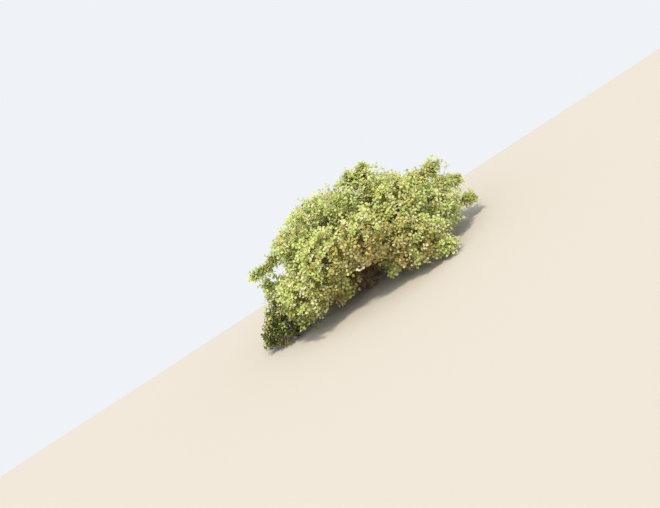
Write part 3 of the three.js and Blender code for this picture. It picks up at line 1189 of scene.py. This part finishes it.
def make_leaf():
    right = [Vector(point) for point in LEAF_OUTLINE]
    left = [Vector((point.x, -point.y, point.z)) for point in reversed(right[1:-1])]
    outline = right + left
    above = Vector(MIDRIB) + UP * LEAF_THICKNESS / 2
    below = Vector(MIDRIB) - UP * LEAF_THICKNESS / 2
    count = len(outline)
    faces = []
    for k in range(count):
        following = (k + 1) % count
        faces.append((following, k, count))
        faces.append((k, following, count + 1))
    mesh = bpy.data.meshes.new("leaf_pattern")
    mesh.from_pydata([*outline, above, below], [], faces)
    return bpy.data.objects.new("leaf_pattern", mesh)


leaf = make_leaf()
leaf_faces = len(leaf.data.polygons)
print("faces of a leaf:", leaf_faces)

# %% [markdown]
# ## Leaves along the shoots
#
# Caper leaves stand singly, each turned on from the last, with a clear bit of stem between them. The
# tree cuts each shoot into equal steps and sets a leaf on every step past its bare foot. A leaf points
# sideways and a little forward, and its face turns up and outward to the light, with a seeded lean so
# that no two catch it alike.

# %% Leaf tree
LEAF_WOBBLE = 0.6


def make_leaf_tree():
    numbers = ("Spacing", "Bare foot", "Forward", "Lean", "Smallest", "Largest")
    sockets = {"Leaf": "Object", **dict.fromkeys(numbers, "Float"), "Seed": "Int", "Finish": "Material"}
    tree, add, given = new_tree("leaves_on_shoots", sockets)

    def vectors(operation, inputs):
        return add("ShaderNodeVectorMath", inputs, operation=operation)

    def chance(kind, inputs):
        return add("FunctionNodeRandomValue", {**inputs, "Seed": given["Seed"]}, data_type=kind)

    curve = add("GeometryNodeMeshToCurve", {"Mesh": given["Lines"]})
    cut = {"Curve": curve, "Length": given["Spacing"]}
    stepped = add("GeometryNodeResampleCurve", cut, mode="LENGTH")
    on_shoot = add("GeometryNodeSplineParameter").outputs
    past_foot = {0: on_shoot["Factor"], 1: given["Bare foot"]}
    leafy = add("FunctionNodeCompare", past_foot, data_type="FLOAT", operation="GREATER_EQUAL")

    tangent = add("GeometryNodeInputTangent")
    wobble = chance("FLOAT", {2: -LEAF_WOBBLE, 3: LEAF_WOBBLE})
    onward = {0: on_shoot["Index"], 1: GOLDEN_ANGLE, 2: wobble}
    turned = add("ShaderNodeMath", onward, operation="MULTIPLY_ADD")
    turning = {"Vector": add("GeometryNodeInputNormal"), "Axis": tangent, "Angle": turned}
    side = add("ShaderNodeVectorRotate", turning, rotation_type="AXIS_ANGLE")
    forward = vectors("SCALE", {0: tangent, "Scale": given["Forward"]})
    pointing = vectors("ADD", {0: side, 1: forward})

    outward = vectors("NORMALIZE", {0: add("GeometryNodeInputPosition")})
    upward = vectors("ADD", {0: outward, 1: tuple(UP)})
    any_way = chance("FLOAT_VECTOR", {0: (-1, -1, -1), 1: (1, 1, 1)})
    leaning = vectors("SCALE", {0: any_way, "Scale": given["Lean"]})
    facing = vectors("ADD", {0: upward, 1: leaning})
    aimed = add("FunctionNodeAlignRotationToVector", {"Vector": pointing}, axis="X")
    roll_over = {"Rotation": aimed, "Vector": facing}
    rolled = add("FunctionNodeAlignRotationToVector", roll_over, axis="Z", pivot_axis="X")

    pattern = add("GeometryNodeObjectInfo", {"Object": given["Leaf"], "As Instance": True})
    set_out = {
        "Points": stepped,
        "Selection": leafy,
        "Instance": pattern.outputs["Geometry"],
        "Rotation": rolled,
        "Scale": chance("FLOAT", {2: given["Smallest"], 3: given["Largest"]}),
    }
    end_tree(add, add("GeometryNodeInstanceOnPoints", set_out), given["Finish"])
    return tree


leaf_tree = make_leaf_tree()
print("nodes in the leaf tree:", len(leaf_tree.nodes))

# %% [markdown]
# ## Tints, dealt by spray
#
# The dome is not one green. Most sprays in the sun are yellow-green or pale, and the palest of them are
# partly a painted highlight: the sun's glare on the waxy leaves. Low down at the downhill end they are
# deep green, which is painted shade: dark tints that stand for the shade that the upper dome casts on
# its low downhill end. Above the root crown, low on the front and the back, many are olive,
# straw-coloured or brown, apart from one fresh sprig that hangs in front of the hollow there. All
# leaves of a shoot share a tint, as on the plant. Each tint has three weights: for a sunny place, for
# the painted shade and for a dry place. Seeded chance deals the tints, with the weights mixed by where
# the shoot's tip is.

# %% Tints
TINTS = {
    "lime": ("cdd578", 28, 0, 6),
    "pale": ("d7da98", 20, 0, 4),
    # The next tint is a pale leaf colour that partly stands for a painted highlight, the sun's glare on
    # waxy leaves.
    "cream": ("e0d8a8", 3, 0, 1),
    "fresh": ("bccd70", 28, 0, 5),
    "olive": ("bcb05c", 9, 4, 22),
    "green": ("a0b85a", 11, 6, 3),
    # The next two tints, the darkest, are painted shade: dark greens dealt almost only where the upper
    # dome shades its low downhill end.
    "dusk": ("494f24", 1, 34, 3),
    "deep": ("272d11", 0, 56, 2),
    "straw": ("c8b274", 2, 0, 22),
    "brown": ("947a4a", 0, 3, 34),
}
TINT_SEED = 77
# Where the painted shade is dealt: downhill and low on the dome, blending in over a width.
SHADE_FROM_X = -0.53
SHADE_BELOW = 0.41
SHADE_BLEND = 0.2
DRY_X = 0.13
DRY_REACH = 0.67
DRY_SLANT = 0.27
DRY_BLEND = 0.5
FRESH_SPRIG = place(-66, 13, 0.54)
FRESH_REACH = 0.09
FRESH_BLEND = 0.03
LEAF_STALK_RADIUS = 0.001


def share_of(value, width):
    """How far a value has risen over a width, from 0 to 1."""
    return min(max(value / width, 0.0), 1.0)


def deal_tints():
    """The shoots of the whole bush, dealt to the tints."""
    roll = dice(TINT_SEED)
    dealt = {tint: [] for tint in TINTS}
    for points in shoots:
        tip = points[-1]
        # The painted shade: darker tints go to tips that lie downhill and low, where the upper dome
        # shades them.
        downhill = share_of(SHADE_FROM_X - tip.x, SHADE_BLEND)
        shaded = downhill * share_of(SHADE_BELOW - tip.z, SHADE_BLEND)
        from_dry = math.hypot(tip.x - DRY_X, tip.z - DRY_SLANT * abs(tip.y))
        dry = share_of(DRY_REACH - from_dry, DRY_BLEND) * (1 - shaded)
        dry *= share_of((tip - FRESH_SPRIG).length - FRESH_REACH, FRESH_BLEND)
        weights = [
            sunny * (1 - shaded - dry) + dark * shaded + parched * dry
            for _, sunny, dark, parched in TINTS.values()
        ]
        mark = roll() * sum(weights)
        for tint, weight in zip(TINTS, weights):
            mark -= weight
            if mark < 0:
                break
        dealt[tint].append((points, LEAF_STALK_RADIUS, LEAF_STALK_RADIUS))
    return dealt


dealt_shoots = deal_tints()
print("shoots of each tint:", {tint: len(lines) for tint, lines in dealt_shoots.items()})

# %% [markdown]
# ## A piece of leaves for each tint
#
# One run of the leaf tree for each tint gives ten pieces, each with one plain finish. The sizes are
# the same for all, and only the seed and the finish differ. The leaves are waxy but hardly shiny, and
# half of the light goes through them, which keeps the shaded ones warm.

# %% Leaves
LEAF_SPACING = 0.0125
SMALLEST_LEAF = 0.75
LEAF_SEED = 20
LEAF_HABIT = {
    "Leaf": leaf,
    "Spacing": LEAF_SPACING,
    "Bare foot": 0.36,
    "Forward": 0.5,
    "Lean": 0.8,
    "Smallest": SMALLEST_LEAF * LEAF_LENGTH,
    "Largest": LARGEST_LEAF * LEAF_LENGTH,
}

leaf_pieces = []
for index, (tint, lines) in enumerate(dealt_shoots.items()):
    finish = plain_finish("leaf_" + tint, TINTS[tint][0], 0.5, shine=0.2, coat=0.05, glow=0.5)
    values = {**LEAF_HABIT, "Seed": LEAF_SEED + index, "Finish": finish}
    piece = made_by(leaf_tree, "leaves_" + tint, lines, values)
    leaf_pieces.append(piece)
    print(piece.name, "shoots:", len(lines), "leaves:", len(piece.data.polygons) // leaf_faces)

# %% [markdown]
# ## Riding and replacing
#
# The solid model's root crown, boughs and masses give way to the pieces made here. Every new piece is
# tied to the plant, and the solids that it stands for are hidden.

# %% Solids replaced
mass_nodes = ["mass_" + mass.name for mass in masses]
foliage_pieces = [twig_piece, shoot_piece, dry_piece, *leaf_pieces]
for piece in foliage_pieces:
    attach(piece, "root")
    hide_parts(*mass_nodes)

bark_pieces = {"root_crown": crown_piece}
bark_pieces.update({"bough_" + name: piece for name, piece in limb_pieces.items()})
for node, piece in bark_pieces.items():
    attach(piece, "root")
    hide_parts(node)


def triangles(pieces):
    return sum(len(face.vertices) - 2 for piece in pieces for face in piece.data.polygons)


print("triangles of the foliage:", triangles(foliage_pieces))
print("triangles of the bark:", triangles(bark_pieces.values()))
print("largest piece:", max(triangles([piece]) for piece in foliage_pieces))

# %% [markdown]
# ## Floor, light and backdrop
#
# A pale, plain floor takes the shadow, and a soft lamp stands for the sun, high and a little to the
# front, as the lit and shaded sides in the photograph tell. A wide, weak lamp and the pale backdrop
# fill the shadows. The floor ends behind the bush, so that the dome's top stands clear against the
# backdrop.

# %% Stage
FLOOR_SIDE = 7
FLOOR_FRONT = -16
FLOOR_BACK = 1.3

floor_mesh = bpy.data.meshes.new("floor")
near = [(-FLOOR_SIDE, FLOOR_FRONT, 0), (FLOOR_SIDE, FLOOR_FRONT, 0)]
far = [(FLOOR_SIDE, FLOOR_BACK, 0), (-FLOOR_SIDE, FLOOR_BACK, 0)]
floor_mesh.from_pydata(near + far, [], [(0, 1, 2, 3)])
floor_mesh.materials.append(plain_finish("floor_paper", "bab6b0", 0.9))
floor = put_in_scene("floor", floor_mesh)

world = bpy.data.worlds.new("studio")
bpy.context.scene.world = world
world.use_nodes = True
backdrop = world.node_tree.nodes["Background"]
fill(world.node_tree, backdrop, {"Color": paint("e5e9ed"), "Strength": 1.1})


def sun(name, towards, strength, softness, code):
    """A lamp whose light comes from a direction, with soft edges to its shadows."""
    lamp = bpy.data.lights.new(name, "SUN")
    lamp.energy = strength
    lamp.angle = math.radians(softness)
    lamp.color = paint(code)[:3]
    made = put_in_scene(name, lamp)
    made.rotation_mode = "QUATERNION"
    made.rotation_quaternion = Vector(towards).to_track_quat("Z", "Y")


sun("key_light", (0.0, -0.4, 0.91), 2.75, 8, "fff0d6")
sun("fill_light", (-0.2, -0.85, 0.45), 0.75, 80, "fff8ea")
bpy.context.scene.view_settings.view_transform = "Standard"
